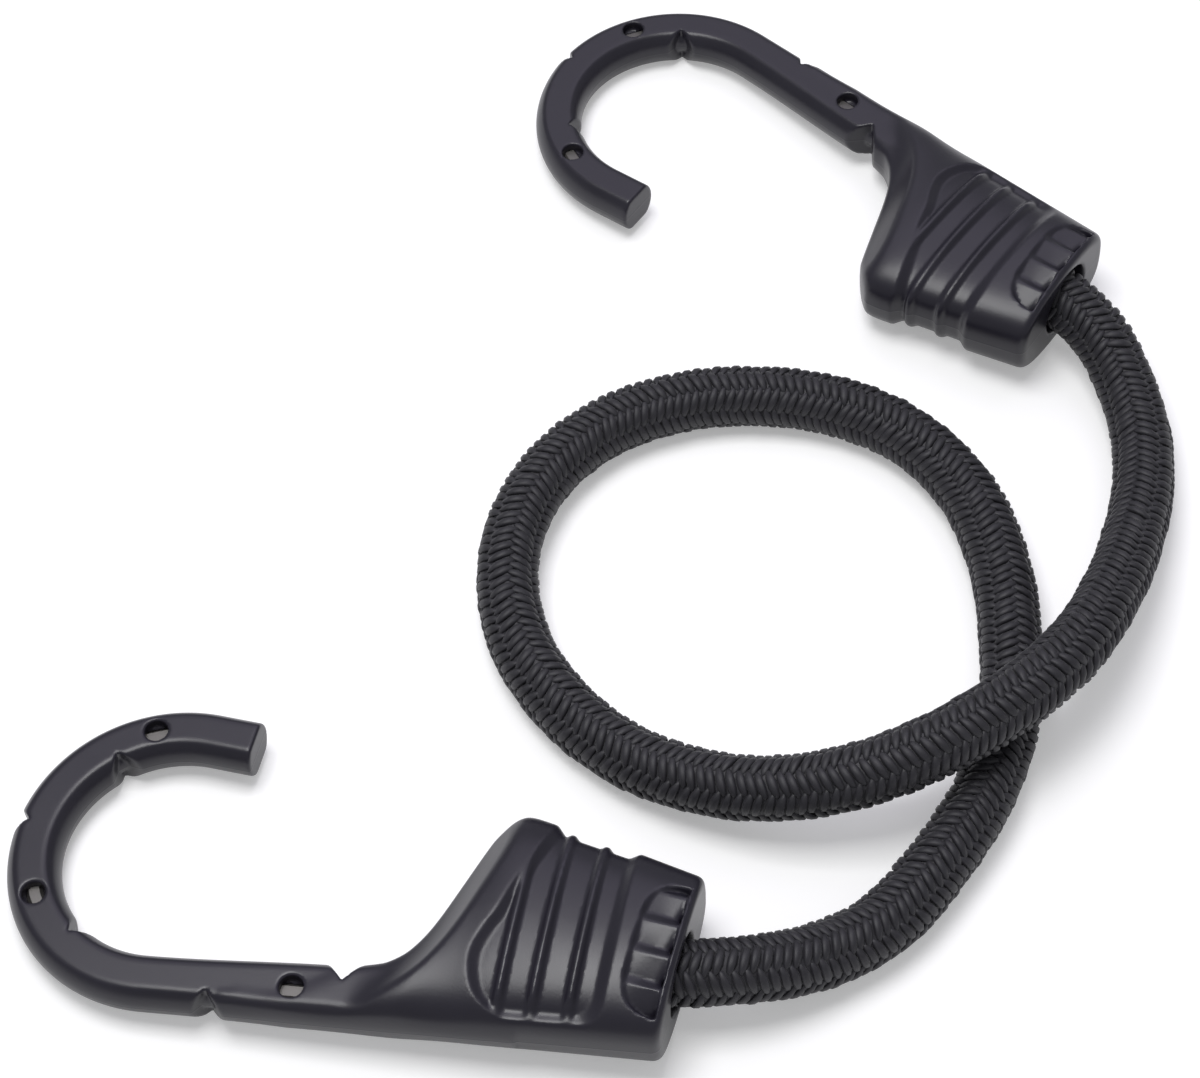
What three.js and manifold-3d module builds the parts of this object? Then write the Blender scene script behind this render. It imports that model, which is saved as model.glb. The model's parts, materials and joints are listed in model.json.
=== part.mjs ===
// Bungee cord: one braided elastic cord in a loop, with an over-moulded steel hook on each end.
// Millimetres, +Z up. Both hooks lie on the surface z = 0, and the second one is turned over.
import * as THREE from "three";
import { mergeVertices } from "three/addons/utils/BufferGeometryUtils.js";
import Module from "manifold-3d";

const wasm = await Module();
wasm.setup();

// Sizes of the cord
const CORD_D = 10; // over the braided sheath
const SHEATH_WALL = 1.1;
const GAP = 0.3; // clearance between neighbouring pieces
const OUTER_STRANDS = 6; // round one middle strand
const CORD_SIDES = 12;
const STRAND_SIDES = 6;
const CORD_STEPS = 42;

// Sizes of the hook, in its own frame: X is the line of pull, from the joint with the cord to the bend.
const ROD_W = 8;
const ROD_T = 7;
const FLAT_W = 4.6; // flat band on each face of the rod
const BEND_R = 20.5; // to the middle of the rod
const BEND_X = 76.8; // joint to the centre of the bend
const PULL_ANGLE = 8.8; // between the shank and the line of pull, degrees
const BEND_SWEEP = 187.3; // degrees, past the half turn so that the tip closes in
const TIP_STRAIGHT = 6.8; // after the bend
const SHANK_FLARE = 1.0; // added to the shank's width by the body, on the throat side
const ROD_STEPS = 32;
const ROD_START = 20; // x where the rod begins, inside the body
const BODY_T = 16;
const MOUTH_X = -1.3; // rim of the mouth, just past the joint
const MOUTH_INNER = 14; // line of pull to the throat side of the mouth
const SPINE_OVER = 0.15; // of the body's straight side over the shank's outer edge
const EDGE_BEVEL = 1.2;
const BODY_SIDES = 24;
const BODY_POWER = 3.2; // of the body's rounded section: 2 is an ellipse, more is squarer
const GROOVE_DEPTH = 0.8;
const GROOVES = [
  [8.4, 12.2],
  [13.4, 17.5],
  [18.7, 22.4],
];
const GROOVE_FROM_SPINE = 3.5;

// Tooth band across the mouth, on both faces
const TEETH = 4;
const TOOTH_PITCH = 5;
const TOOTH_FLOOR = 6.6; // height over the middle plane
const TOOTH_RISE = 1.1;
const TOOTH_X = [0.2, 5.8];

// Socket and crimp ring
const SOCKET_DEPTH = 25.4; // of the cord's end inside the hook
const RING_WALL = 0.9;
const RING_LENGTH = 6;
const RING_X = 16.3;
const FLARE = 1.0; // of the mouth's rim
const FLARE_LENGTH = 5;

// Steel core and the marks that its support pins left in the moulding
const CORE_D = 4;
const CORE_START = 13; // x of its end by the mouth
const CORE_TIP_COVER = 6; // moulding past its other end
const DIMPLE_D = 3.6;
const NOTCH_ANGLE = 100; // degrees
const NOTCH_REACH = 2.0; // from the middle of the rod to the point of the notch
// Places along the rod: millimetres from the start of the bend back along the shank, or degrees round the bend.
const SHANK_DIMPLE = 22.2;
const SHANK_INNER_NOTCH = 29.3;
const SHANK_OUTER_NOTCH = 10;
const BEND_DIMPLES = [63.7, 163];
const BEND_INNER_NOTCHES = [38.8, 143.9];
const BEND_OUTER_NOTCH = 97.9;

// Where the mouths lie on the surface, and which way each hook points from its mouth
const MOUTH_A = [10.5, -81.0];
const HEADING_A = 164.3;
const MOUTH_B = [76.4, 42.35];
const HEADING_B = 145.5;

const rad = THREE.MathUtils.degToRad;
const SIN = Math.sin(rad(PULL_ANGLE));
const COS = Math.cos(rad(PULL_ANGLE));
const flip = (list) => list.map(([x, y]) => [x, -y]);

// Geometry to solid and back
function solid(geometry) {
  const bare = geometry.clone();
  bare.deleteAttribute("normal");
  bare.deleteAttribute("uv");
  const merged = mergeVertices(bare, 1e-4);
  return new wasm.Manifold(
    new wasm.Mesh({
      numProp: 3,
      vertProperties: merged.attributes.position.array,
      triVerts: new Uint32Array(merged.index.array),
    }),
  );
}

function geometryOf(made) {
  const m = made.getMesh();
  return new THREE.BufferGeometry()
    .setAttribute("position", new THREE.BufferAttribute(m.vertProperties, 3))
    .setIndex(new THREE.BufferAttribute(m.triVerts, 1));
}

const join = (list) => list.reduce((a, b) => a.add(b));
const shapeOf = (points) => new THREE.Shape(points.map(([x, y]) => new THREE.Vector2(x, y)));

// The middle line of the rod: straight shank, bend, short straight tip. s runs from the start of the bend.
const TANGENT = [BEND_X - BEND_R * SIN, -BEND_R * COS];
const shankAtX = (x) => TANGENT[1] + ((TANGENT[0] - x) * SIN) / COS;
function rodFrame(s) {
  if (s <= 0) {
    return { p: [TANGENT[0] + s * COS, TANGENT[1] - s * SIN], inward: [SIN, COS] };
  }
  const a = Math.min(s / BEND_R, rad(BEND_SWEEP)) - rad(PULL_ANGLE);
  const past = Math.max(s - rad(BEND_SWEEP) * BEND_R, 0);
  return {
    p: [
      BEND_X + BEND_R * Math.sin(a) + past * Math.cos(a),
      -BEND_R * Math.cos(a) + past * Math.sin(a),
    ],
    inward: [-Math.sin(a), Math.cos(a)],
  };
}
const alongBend = (degrees) => rad(degrees) * BEND_R;
const ROD_END = alongBend(BEND_SWEEP) + TIP_STRAIGHT;

class RodLine extends THREE.Curve {
  constructor(from, to) {
    super();
    this.from = from;
    this.to = to;
  }
  getPoint(t) {
    const { p } = rodFrame(this.from + t * (this.to - this.from));
    return new THREE.Vector3(p[0], p[1], 0);
  }
}

function sweep(shape, line, steps) {
  return new THREE.ExtrudeGeometry(shape, { extrudePath: line, steps, curveSegments: 4 });
}

function polygon(radius, sides, cx = 0, cy = 0) {
  const turn = (i) => ((i + 0.5) * 2 * Math.PI) / sides;
  return Array.from({ length: sides }, (_, i) => [
    cx + radius * Math.cos(turn(i)),
    cy + radius * Math.sin(turn(i)),
  ]);
}

// A closed body through stations along X: [x, outer edge, inner edge, half thickness].
function loft(stations) {
  const g = new THREE.CylinderGeometry(1, 1, 1, BODY_SIDES, stations.length - 1);
  const at = g.attributes.position;
  const squarer = (v) => Math.sign(v) * Math.abs(v) ** (2 / BODY_POWER);
  for (let i = 0; i < at.count; i++) {
    const [x, outer, inner, half] = stations[Math.round((at.getY(i) + 0.5) * (stations.length - 1))];
    const y = (outer + inner) / 2 + ((inner - outer) / 2) * squarer(at.getZ(i));
    at.setXYZ(i, x, y, half * squarer(at.getX(i)));
  }
  return g;
}

const spine = (x) => shankAtX(x) - ROD_W / 2 / COS - SPINE_OVER;
const shankInner = (x) => shankAtX(x) + ROD_W / 2 / COS;

// Swelling of the body over the cord's end, running out along the spine into the shank
function domeStations(inset) {
  const half = BODY_T / 2;
  return [
    [MOUTH_X, spine(MOUTH_X) + 1.3, MOUTH_INNER - 1.4, half - 1.2],
    [0, spine(0), MOUTH_INNER, half],
    [9, spine(9), 15.1, half],
    [24, spine(24), 16.2, half],
    [26.5, spine(26.5), 13.8, half - 0.2],
    [28.7, spine(28.7), 9.0, half - 0.5],
    [31.1, spine(31.1), 2.2, half - 1.0],
    [33.2, spine(33.2), -3.6, half - 1.6],
    [35.3, spine(35.3), -9.2, half - 2.3],
    [38.4, spine(38.4), -12.7, half - 2.9],
    [43, spine(43), -15.1, half - 3.5],
    [51, spine(51), -17.9, half - 4.2],
    [60, spine(60) + 0.3, -20.6, half - 4.9],
  ].map(([x, outer, inner, h]) => [x, outer + inset, inner - inset, h - inset]);
}

// Flat plate of the rod's own thickness under the swelling: it shows as the band along the throat.
function plate(inset) {
  const near = MOUTH_X + 1.2;
  const far = 66;
  const outline = [
    [near, spine(near) + inset],
    [50, spine(50) + inset],
    [far, spine(far) + 1.2],
    [far, shankInner(far) - 1.2],
    [58, shankInner(58) + 0.3 * SHANK_FLARE],
    [52, shankInner(52) + 0.8 * SHANK_FLARE],
    [46, shankInner(46) + SHANK_FLARE],
    [42.6, shankInner(42.6) + SHANK_FLARE + 0.4],
    [39.5, -9.3],
    [37.4, -7.4],
    [35.8, -4.6],
    [34.6, -1.2],
    [32.6, 5.6],
    [30.9, 11.4],
    [29.9, 14.7],
    [28.8, 16.7],
    [26.9, 17.5 - inset],
    [24.4, 17.2 - inset],
    [9.0, 15.3 - inset],
    [near, MOUTH_INNER - inset],
  ];
  const g = new THREE.ExtrudeGeometry(shapeOf(outline), {
    depth: ROD_T - 2 * EDGE_BEVEL,
    bevelEnabled: true,
    bevelThickness: EDGE_BEVEL,
    bevelSize: EDGE_BEVEL,
    bevelOffset: -EDGE_BEVEL,
    bevelSegments: 2,
  });
  return g.translate(0, 0, EDGE_BEVEL - ROD_T / 2);
}

const bodySolid = (inset) => join([solid(loft(domeStations(inset))), solid(plate(inset))]);

// Box between two corners
function block(x0, y0, z0, x1, y1, z1) {
  const g = new THREE.BoxGeometry(x1 - x0, y1 - y0, z1 - z0);
  return g.translate((x0 + x1) / 2, (y0 + y1) / 2, (z0 + z1) / 2);
}

// Round solid about the line of pull from a profile of [radius, x] that starts and ends on the axis
function turned(profile, sides) {
  const points = profile.map(([r, x]) => new THREE.Vector2(r, x));
  return new THREE.LatheGeometry(points, sides).rotateZ(-Math.PI / 2);
}

// Half section of the rod: flat faces, rounded sides. Section X is the rod's thickness.
function rodSection() {
  const quarter = [
    [ROD_T / 2, FLAT_W / 2],
    [ROD_T * 0.37, ROD_W * 0.44],
    [ROD_T * 0.15, ROD_W / 2],
  ];
  const mirrored = [...quarter].reverse().map(([x, y]) => [-x, y]);
  const upper = [...quarter, ...mirrored];
  return shapeOf([...upper, ...flip(upper).reverse()]);
}

function hookMoulding() {
  const rodFrom = (ROD_START - TANGENT[0]) / COS;
  const rod = solid(sweep(rodSection(), new RodLine(rodFrom, ROD_END), ROD_STEPS));
  const body = bodySolid(0);

  // Grip: grooves round the body, stopped short of the spine
  const slabs = join(
    GROOVES.map(([x0, x1]) => solid(block(x0, spine(x1) + GROOVE_FROM_SPINE, -BODY_T, x1, 2 * MOUTH_INNER, BODY_T))),
  );
  const grooves = slabs.subtract(bodySolid(GROOVE_DEPTH));

  // Tooth band: the space over a row of saw teeth
  const row = [];
  const left = (-TEETH * TOOTH_PITCH) / 2;
  for (let i = 0; i < TEETH; i++) {
    row.push([left + i * TOOTH_PITCH, TOOTH_FLOOR]);
    row.push([left + (i + 0.92) * TOOTH_PITCH, TOOTH_FLOOR + TOOTH_RISE]);
  }
  row.push([-left, TOOTH_FLOOR], [-left, BODY_T], [left, BODY_T]);
  const band = new THREE.ExtrudeGeometry(shapeOf(row), { depth: TOOTH_X[1] - TOOTH_X[0], bevelEnabled: false });
  band.rotateX(Math.PI / 2).rotateZ(Math.PI / 2).translate(TOOTH_X[0], 0, 0);
  const bandBelow = band.clone().rotateX(Math.PI);

  // Socket: flared mouth, bore, wider chamber round the ring
  const bore = CORD_D / 2 + GAP;
  const chamber = bore + RING_WALL + GAP;
  const socket = turned(
    [
      [0, MOUTH_X - 1],
      [bore + FLARE, MOUTH_X - 1],
      [bore + FLARE, MOUTH_X],
      [bore, MOUTH_X + FLARE_LENGTH],
      [bore, RING_X - GAP * 2],
      [chamber, RING_X - GAP * 2],
      [chamber, RING_X + RING_LENGTH + GAP * 2],
      [bore, RING_X + RING_LENGTH + GAP * 2],
      [bore, SOCKET_DEPTH + GAP * 2],
      [0, SOCKET_DEPTH + GAP * 2],
    ],
    24,
  );

  // Channel of the steel core, with the pin holes and the notches that reach it
  const cuts = [grooves, solid(band), solid(bandBelow), solid(socket), solid(coreLine(CORE_D / 2 + GAP, GAP))];
  for (const s of [-SHANK_DIMPLE, ...BEND_DIMPLES.map(alongBend)]) {
    const { p } = rodFrame(s);
    for (const side of [1, -1]) {
      const pin = new THREE.CylinderGeometry(DIMPLE_D / 2, DIMPLE_D / 2, ROD_T, 12);
      pin.rotateX(Math.PI / 2).translate(p[0], p[1], side * (CORE_D * 0.4 + ROD_T / 2));
      cuts.push(solid(pin));
    }
  }
  const inner = [-SHANK_INNER_NOTCH, ...BEND_INNER_NOTCHES.map(alongBend)];
  const outer = [-SHANK_OUTER_NOTCH, alongBend(BEND_OUTER_NOTCH)];
  for (const [places, side] of [[inner, 1], [outer, -1]]) {
    for (const s of places) {
      const { p, inward } = rodFrame(s);
      const out = ROD_W - NOTCH_REACH;
      const half = out * Math.tan(rad(NOTCH_ANGLE / 2));
      const vee = new THREE.ExtrudeGeometry(shapeOf([[0, 0], [out, -half], [out, half]]), {
        depth: 2 * ROD_T,
        bevelEnabled: false,
      });
      vee.translate(NOTCH_REACH, 0, -ROD_T).rotateZ(Math.atan2(side * inward[1], side * inward[0]));
      cuts.push(solid(vee.translate(p[0], p[1], 0)));
    }
  }
  return geometryOf(join([rod, body]).subtract(join(cuts)).simplify(0.02));
}

function coreLine(radius, over) {
  const from = (CORE_START - TANGENT[0]) / COS - over;
  const to = ROD_END - CORE_TIP_COVER + over;
  return sweep(shapeOf(polygon(radius, 8)), new RodLine(from, to), ROD_STEPS);
}

function crimpRing() {
  const inner = CORD_D / 2 + GAP;
  const outer = inner + RING_WALL;
  const profile = [
    [inner, RING_X],
    [outer, RING_X],
    [outer, RING_X + RING_LENGTH],
    [inner, RING_X + RING_LENGTH],
    [inner, RING_X],
  ];
  return turned(profile, 24);
}

// Materials
const nylon = new THREE.MeshStandardMaterial({ color: 0x2c2a31, roughness: 0.45 });
const steel = new THREE.MeshStandardMaterial({ color: 0x9a9a98, metalness: 1, roughness: 0.35 });
const braid = new THREE.MeshStandardMaterial({ color: 0x1c1c20, roughness: 0.9 });
const latex = new THREE.MeshStandardMaterial({ color: 0xcdbf9c, roughness: 0.7 });

const part = new THREE.Group();
const add = (group, name, geometry, material) => {
  const mesh = new THREE.Mesh(geometry, material);
  mesh.name = name;
  group.add(mesh);
};

// Both hooks rest on the front of the swelling and on the bend, so they lean a little.
const REST_FRONT = 25;
const REST_BEND = BEND_X + BEND_R + FLAT_W / 2;
const LEAN = Math.atan((BODY_T - ROD_T) / 2 / (REST_BEND - REST_FRONT));
const MOUTH_Z = (BODY_T / 2) * Math.cos(LEAN) + REST_FRONT * Math.sin(LEAN);

const moulding = hookMoulding();
const core = coreLine(CORE_D / 2, 0);
const ring = crimpRing();
const hooks = new THREE.Group();
function placeHook(letter, mouth, heading, turnedOver) {
  const hook = new THREE.Group();
  add(hook, "hook_" + letter + "_moulding", moulding, nylon);
  add(hook, "hook_" + letter + "_steel_core", core, steel);
  add(hook, "crimp_ring_" + letter, ring, steel);
  hook.rotation.set(turnedOver ? Math.PI : 0, LEAN, rad(heading), "ZYX");
  hook.position.set(mouth[0], mouth[1], MOUTH_Z);
  hooks.add(hook);
  return hook;
}
const hookA = placeHook("a", MOUTH_A, HEADING_A, true);
const hookB = placeHook("b", MOUTH_B, HEADING_B, false);
hooks.updateMatrixWorld(true);
const box = new THREE.Box3().setFromObject(hooks, true);

// Route of the cord: straight in each socket, a long low hump where it passes over itself.
const inHook = (hook, x) => new THREE.Vector3(x, 0, 0).applyMatrix4(hook.matrixWorld);
const LOW = CORD_D / 2 + 0.1;
const HIGH = LOW + CORD_D + 0.5;
const FREE_ROUTE = [
  [19.5, -80.5, 9.3],
  [27.1, -78.6, 7.5],
  [34.4, -75.4, 5.6],
  [41.9, -70.6, LOW],
  [50.3, -60.8, LOW],
  [58.1, -48.5, LOW],
  [62.6, -35.2, LOW],
  [63.8, -21.7, LOW],
  [63.0, -7.6, LOW],
  [58.8, 5.8, LOW],
  [50.1, 16.7, LOW],
  [38.6, 22.8, LOW],
  [26.2, 24.8, LOW],
  [13.5, 23.7, LOW],
  [0.5, 18.2, LOW],
  [-9.6, 7.7, LOW],
  [-14.4, -6.8, LOW],
  [-12.8, -21.6, LOW],
  [-6.0, -33.8, LOW],
  [3.5, -42.7, 5.5],
  [14.2, -48.2, 7.0],
  [25.7, -51.0, 9.5],
  [37.4, -50.7, 12.5],
  [49.0, -47.1, 14.8],
  [62.0, -39.1, HIGH],
  [71.4, -30.1, 14.7],
  [78.5, -18.5, 11.8],
  [83.9, -5.7, 8.4],
  [87.2, 6.5, 6.2],
  [87.9, 16.8, 5.6],
  [86.4, 26.0, 6.3],
  [82.7, 34.8, 8.4],
];
const SOCKET_POINTS = [SOCKET_DEPTH, SOCKET_DEPTH * 0.6, SOCKET_DEPTH * 0.3, 0];
const route = new THREE.CatmullRomCurve3(
  [
    ...SOCKET_POINTS.map((x) => inHook(hookA, x)),
    ...FREE_ROUTE.map(([x, y, z]) => new THREE.Vector3(x, y, z)),
    ...[...SOCKET_POINTS].reverse().map((x) => inHook(hookB, x)),
  ],
  false,
  "centripetal",
);

const cord = new THREE.Group();
const bore = CORD_D / 2 - SHEATH_WALL;
const sheath = shapeOf(polygon(CORD_D / 2, CORD_SIDES));
sheath.holes.push(new THREE.Path(polygon(bore, CORD_SIDES).map(([x, y]) => new THREE.Vector2(x, y))));
add(cord, "cord_sheath", sweep(sheath, route, CORD_STEPS), braid);

// Rubber core: one strand in the middle and the others round it
const strandR = (bore - 2 * GAP) / 3;
const ringR = 2 * strandR + GAP;
for (let i = 0; i <= OUTER_STRANDS; i++) {
  const turn = (i * 2 * Math.PI) / OUTER_STRANDS;
  const centre = i < OUTER_STRANDS ? [ringR * Math.cos(turn), ringR * Math.sin(turn)] : [0, 0];
  const strand = shapeOf(polygon(strandR, STRAND_SIDES, ...centre));
  add(cord, "rubber_strand_" + (i + 1), sweep(strand, route, CORD_STEPS), latex);
}

// The frame's origin: on the surface, under the middle of the two hooks.
const middle = box.getCenter(new THREE.Vector3());
part.add(hooks, cord);
part.position.set(-middle.x, -middle.y, -box.min.z);

const frame = new THREE.Group();
frame.add(part);
export default frame;
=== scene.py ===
# %% [markdown]
# # A bungee cord
# A braided elastic cord lies in one loop, and a black moulded hook sits on each of its ends.
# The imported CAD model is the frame: it gives the places, the sizes and the joints. This file
# dresses it. The braid is laid stitch by stitch, the hooks are cut from one smooth form, and
# each surface gets a finish worked out from its nodes.

# %% Load the frame
import json
import math

import bpy
import numpy as np
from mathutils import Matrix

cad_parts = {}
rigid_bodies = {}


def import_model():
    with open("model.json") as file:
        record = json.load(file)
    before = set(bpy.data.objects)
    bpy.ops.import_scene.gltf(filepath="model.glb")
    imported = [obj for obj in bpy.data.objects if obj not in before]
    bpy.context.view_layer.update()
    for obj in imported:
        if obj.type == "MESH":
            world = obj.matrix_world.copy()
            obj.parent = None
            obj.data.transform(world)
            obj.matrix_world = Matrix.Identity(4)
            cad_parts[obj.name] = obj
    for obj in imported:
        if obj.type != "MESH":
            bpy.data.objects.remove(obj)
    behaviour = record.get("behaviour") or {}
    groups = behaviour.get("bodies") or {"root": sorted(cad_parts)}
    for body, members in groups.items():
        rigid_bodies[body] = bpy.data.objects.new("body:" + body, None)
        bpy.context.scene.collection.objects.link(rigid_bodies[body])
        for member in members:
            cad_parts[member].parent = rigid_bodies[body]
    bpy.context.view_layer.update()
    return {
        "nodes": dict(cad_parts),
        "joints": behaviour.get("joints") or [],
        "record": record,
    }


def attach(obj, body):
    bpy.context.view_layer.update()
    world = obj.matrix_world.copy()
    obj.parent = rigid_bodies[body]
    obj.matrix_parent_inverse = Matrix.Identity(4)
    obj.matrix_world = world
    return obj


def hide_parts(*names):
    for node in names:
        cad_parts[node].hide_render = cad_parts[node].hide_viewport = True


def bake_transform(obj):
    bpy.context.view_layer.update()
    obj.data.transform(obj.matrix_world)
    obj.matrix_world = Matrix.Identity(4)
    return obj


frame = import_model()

record = frame["record"]
joints = {joint["name"]: joint for joint in frame["joints"]}
mounts = {mount["name"]: mount for mount in record["mounts"]}
MM = 0.001

# %% [markdown]
# ## Camera
# The picture was taken from the front and well above, so the camera stands at the same height
# angle. Its place and lens were worked out from the cord's known thickness at many points of
# the picture: a thin far end and a thick near end tell how far away the camera stood.

# %% Camera
FLOOR_SHIFT = np.array([1.904, -8.296, 0.0])
LOOK_AT = FLOOR_SHIFT * MM
STAND_BACK = 260.3 * MM
STAND_UP = 387.4 * MM
LENS, SENSOR = 86.94, 36.0
camera_data = bpy.data.cameras.new("camera")
camera_data.sensor_fit = "HORIZONTAL"
camera_data.sensor_width = SENSOR
camera_data.lens = LENS
camera = bpy.data.objects.new("camera", camera_data)
camera.location = (LOOK_AT[0], LOOK_AT[1] - STAND_BACK, STAND_UP)
camera.rotation_euler = (math.atan2(STAND_BACK, STAND_UP), 0, 0)
bpy.context.scene.collection.objects.link(camera)
bpy.context.scene.camera = camera
bpy.context.scene.view_settings.view_transform = "Standard"
print("camera looks down by", round(math.degrees(math.atan2(STAND_UP, STAND_BACK)), 1), "degrees")

# %% [markdown]
# ## Working with nodes
# Node trees are easier to read as sums. Value wraps one output socket, so that a plain Python
# expression adds the Math nodes it needs, and Net.node adds every other kind of node.

# %% A socket that can be added and multiplied
class Value:
    def __init__(self, net, socket):
        self.net, self.socket = net, socket

    def math(self, operation, *operands):
        return self.net.node("ShaderNodeMath", {"operation": operation}, dict(enumerate(operands)))

    def __add__(self, other): return self.math("ADD", self, other)
    def __radd__(self, other): return self.math("ADD", other, self)
    def __sub__(self, other): return self.math("SUBTRACT", self, other)
    def __rsub__(self, other): return self.math("SUBTRACT", other, self)
    def __mul__(self, other): return self.math("MULTIPLY", self, other)
    def __rmul__(self, other): return self.math("MULTIPLY", other, self)
    def __truediv__(self, other): return self.math("DIVIDE", self, other)
    def __rtruediv__(self, other): return self.math("DIVIDE", other, self)
    def __mod__(self, other): return self.math("FLOORED_MODULO", self, other)
    def __pow__(self, other): return self.math("POWER", self, other)
    def __abs__(self): return self.math("ABSOLUTE", self)
    def cos(self): return self.math("COSINE", self)
    def sin(self): return self.math("SINE", self)
    def floor(self): return self.math("FLOOR", self)
    def most(self, other): return self.math("MAXIMUM", self, other)

    def rise(self, low, high):
        """0 below low and 1 above high, with soft ends."""
        return self.net.node("ShaderNodeMapRange", {"interpolation_type": "SMOOTHSTEP"},
                             {"Value": self, "From Min": low, "From Max": high})


def pick(sockets, key):
    if isinstance(key, int):
        return sockets[key]
    return next(socket for socket in sockets if socket.name == key and socket.enabled)


class Net:
    def __init__(self, tree):
        self.tree = tree

    def node(self, kind, settings=None, inputs=None, out=0):
        made = self.tree.nodes.new(kind)
        for name, setting in (settings or {}).items():
            if name == "stops":
                ramp = made.color_ramp.elements
                while len(ramp) < len(setting):
                    ramp.new(1.0)
                for element, (place, colour) in zip(ramp, setting):
                    element.position, element.color = place, (*colour, 1.0)
            else:
                setattr(made, name, setting)
        for name, given in (inputs or {}).items():
            for value in given if isinstance(given, list) else [given]:
                socket = pick(made.inputs, name)
                if isinstance(value, Value):
                    self.tree.links.new(value.socket, socket)
                else:
                    socket.default_value = value
        if isinstance(out, tuple):
            return [Value(self, pick(made.outputs, name)) for name in out]
        return Value(self, pick(made.outputs, out))

    def vector(self, x, y, z):
        return self.node("ShaderNodeCombineXYZ", None, {0: x, 1: y, 2: z})


def finish_net(name):
    """A new material, its net and its shader node."""
    material = bpy.data.materials.new(name)
    material.use_nodes = True
    shader = material.node_tree.nodes["Principled BSDF"]
    return material, Net(material.node_tree), shader


def feed(net, shader, **inputs):
    for name, value in inputs.items():
        socket = shader.inputs[name.replace("_", " ")]
        if isinstance(value, Value):
            net.tree.links.new(value.socket, socket)
        else:
            socket.default_value = value


print("node helpers ready")

# %% [markdown]
# ## Finish of the braid
# The sheath is black spun yarn, and matte. Its colour holds a painted highlight on the top of
# each stitch and painted shade at the stitch ends and in the gaps between stitches. Each stitch
# carries its own coordinates, so fine fibre lines can run along it, and a tone of its own,
# because yarns never take the dye quite alike.

# %% Braid finish
# YARN_DARK is the colour of the painted shade between the stitches, and YARN_LIGHT that of the painted
# highlight on their tops.
YARN_DARK = (0.0085, 0.0081, 0.0105)
YARN_LIGHT = (0.073, 0.07, 0.087)
braid_finish, net, shader = finish_net("braid_yarn")
fibre = net.node("ShaderNodeAttribute", {"attribute_name": "fibre"}, out="Vector")
tone = net.node("ShaderNodeAttribute", {"attribute_name": "tone"}, out="Fac")
along, across, height = net.node("ShaderNodeSeparateXYZ", None, {0: fibre}, out=(0, 1, 2))
combed = net.vector(along * 0.7, across * 4.0 + tone * 37.0, height * 4.0)
hair = net.node("ShaderNodeTexNoise", None, {"Vector": combed, "Scale": 1.6, "Detail": 3.0})
place = net.node("ShaderNodeTexCoord", out="Object")
dust = net.node("ShaderNodeTexNoise", None, {"Vector": place, "Scale": 420.0, "Detail": 4.0})
# Painted light: the colour is lighter on the outer top of each stitch, as a painted highlight. It is darker
# towards the stitch's sides and ends and on its inner half, as painted shade in the gaps. The fibre lines,
# each yarn's tone and the specks are the yarn's own.
lit_tops_shaded_gaps = (1 - abs(across).rise(0.35, 0.95)) * (1 - abs(along).rise(0.5, 1.0))
lit_tops_shaded_gaps = lit_tops_shaded_gaps * height.rise(-0.1, 0.5)
light = 0.08 + lit_tops_shaded_gaps * (0.45 + 0.6 * hair + 0.25 * tone) + 0.2 * (dust - 0.5)
yarn_colour = net.node("ShaderNodeMix", {"data_type": "RGBA"},
                       {"Factor": light, "A": (*YARN_DARK, 1), "B": (*YARN_LIGHT, 1)}, out="Result")
hair_bump = net.node("ShaderNodeBump", None, {"Strength": 0.6, "Distance": 0.00012, "Height": hair})
feed(net, shader, Base_Color=yarn_colour, Roughness=0.46 + 0.2 * hair, Normal=hair_bump)
shader.inputs["Specular IOR Level"].default_value = 0.45
shader.inputs["Sheen Weight"].default_value = 0.04
shader.inputs["Sheen Roughness"].default_value = 0.5
print("braid finish:", len(net.tree.nodes), "nodes")

# %% [markdown]
# ## Route of the cord
# The whole cord shows, so its length is what the picture shows. It runs straight out of one
# hook, lies on the floor in a loop, climbs over itself in a long low hump and goes straight into
# the other hook. A curve through points that spaces itself by their distances stays smooth
# where short and long gaps meet.

# %% Cord route
SOCKET_DEPTH = 25.4 * MM
LOW, HIGH = 5.1, 15.6
FREE_ROUTE = np.array([
    (19.5, -80.5, 9.3), (27.1, -78.6, 7.5), (34.4, -75.4, 5.6), (41.9, -70.6, LOW), (50.3, -60.8, LOW),
    (58.1, -48.5, LOW), (62.6, -35.2, LOW), (63.8, -21.7, LOW), (63.0, -7.6, LOW), (58.8, 5.8, LOW),
    (50.1, 16.7, LOW), (38.6, 22.8, LOW), (26.2, 24.8, LOW), (13.5, 23.7, LOW), (0.5, 18.2, LOW),
    (-9.6, 7.7, LOW), (-14.4, -6.8, LOW), (-12.8, -21.6, LOW), (-6.0, -33.8, LOW), (3.5, -42.7, 5.5),
    (14.2, -48.2, 7.0), (25.7, -51.0, 9.5), (37.4, -50.7, 12.5), (49.0, -47.1, 14.8), (62.0, -39.1, HIGH),
    (71.4, -30.1, 14.7), (78.5, -18.5, 11.8), (83.9, -5.7, 8.4), (87.2, 6.5, 6.2), (87.9, 16.8, 5.6),
    (86.4, 26.0, 6.3), (82.7, 34.8, 8.4),
])


class HookPlace:
    """A hook's mouth and its axes: X is the line of pull, and Z goes through the hook."""

    def __init__(self, letter, up):
        self.mouth = np.array(joints["twist_" + letter]["pos_m"])
        self.x = np.array(joints["twist_" + letter]["axis"])
        self.z = up * np.array(mounts["hook_" + letter + "_shank_face"]["axis"])
        self.x, self.z = self.x / np.linalg.norm(self.x), self.z / np.linalg.norm(self.z)
        self.y = np.cross(self.z, self.x)

    def put(self, points):
        return self.mouth + points @ np.array([self.x, self.y, self.z])


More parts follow.
